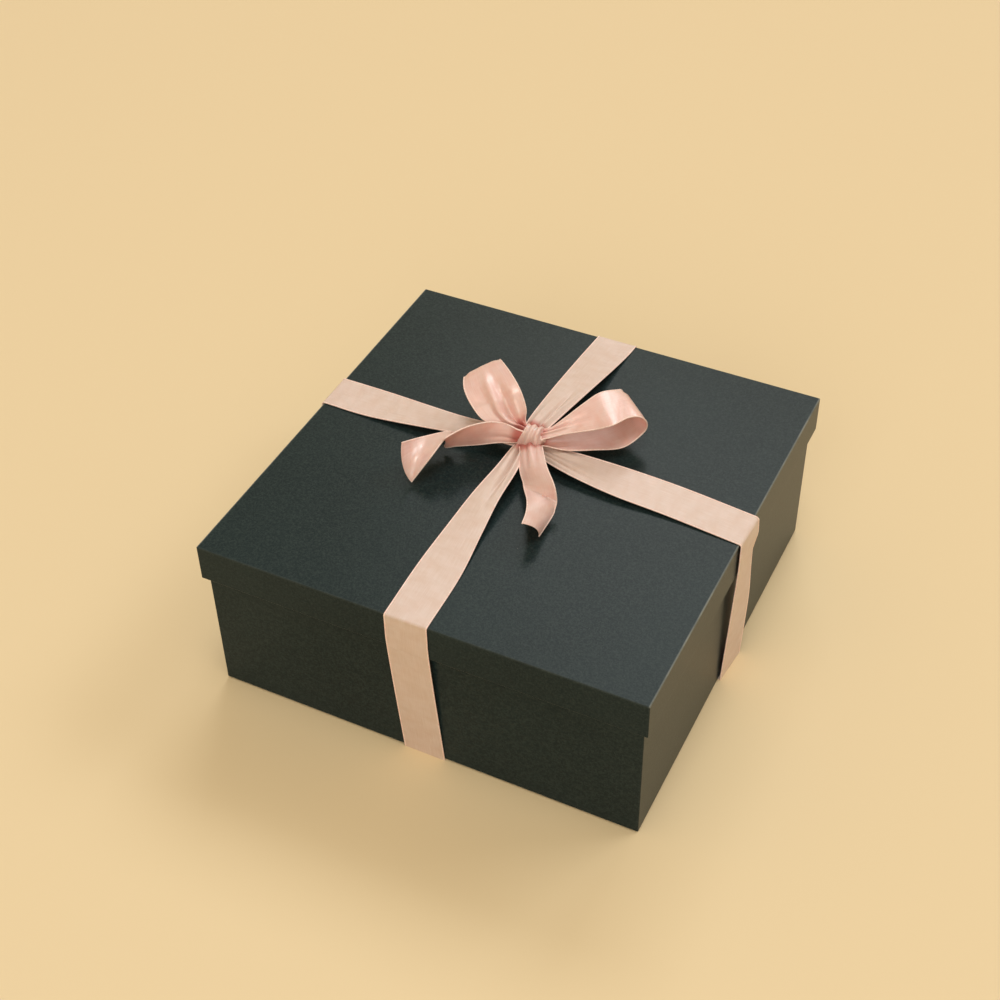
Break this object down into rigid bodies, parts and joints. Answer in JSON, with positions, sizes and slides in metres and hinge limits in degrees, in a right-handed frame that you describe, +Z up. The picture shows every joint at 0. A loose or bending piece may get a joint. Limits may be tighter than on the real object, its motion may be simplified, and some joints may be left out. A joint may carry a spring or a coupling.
{
  "type": "gift box",
  "caption": "Square rigid gift box with a lift-off lid, covered in dark embossed paper and tied crosswise with a satin ribbon that ends in a bow on the lid.",
  "frame": {"origin": "on the table under the middle of the box", "axes": "+Z up, +Y to the back, the bow's loops lie along X"},
  "size_m": [0.276, 0.2718, 0.1487],
  "materials": {
    "greyboard": "matte",
    "covering_paper": "embossed linen",
    "lining_paper": "matte",
    "corner_tape": "matte",
    "satin_ribbon": "satin"
  },
  "bodies": {
    "base": {"base_floor_board": "greyboard", "base_front_wall_board": "greyboard", "base_back_wall_board": "greyboard", "base_left_wall_board": "greyboard", "base_right_wall_board": "greyboard", "base_corner_stays": "corner_tape", "base_wrap": "covering_paper", "base_floor_lining": "lining_paper", "base_wall_lining": "lining_paper", "ribbon_strap_front_back": "satin_ribbon", "ribbon_strap_left_right": "satin_ribbon", "ribbon_leg_front": "satin_ribbon", "ribbon_leg_back": "satin_ribbon", "ribbon_leg_left": "satin_ribbon", "ribbon_leg_right": "satin_ribbon"},
    "lid": {"lid_top_board": "greyboard", "lid_front_skirt_board": "greyboard", "lid_back_skirt_board": "greyboard", "lid_left_skirt_board": "greyboard", "lid_right_skirt_board": "greyboard", "lid_corner_stays": "corner_tape", "lid_wrap": "covering_paper", "lid_lining": "lining_paper"},
    "ribbon": {"bow_knot": "satin_ribbon", "bow_loop_left": "satin_ribbon", "bow_loop_right": "satin_ribbon", "bow_tail_left": "satin_ribbon", "bow_tail_front": "satin_ribbon", "ribbon_arm_front": "satin_ribbon", "ribbon_arm_back": "satin_ribbon", "ribbon_arm_left": "satin_ribbon", "ribbon_arm_right": "satin_ribbon", "ribbon_drop_front": "satin_ribbon", "ribbon_drop_back": "satin_ribbon", "ribbon_drop_left": "satin_ribbon", "ribbon_drop_right": "satin_ribbon"}
  },
  "joints": [
    {"name": "lid_lift", "type": "slide", "parent": "base", "child": "lid", "axis": [0, 0, 1], "range_m": [0, 0.12]},
    {"name": "ribbon_lift", "type": "slide", "parent": "lid", "child": "ribbon", "axis": [0, 0, 1], "range_m": [0, 0.13]}
  ]
}
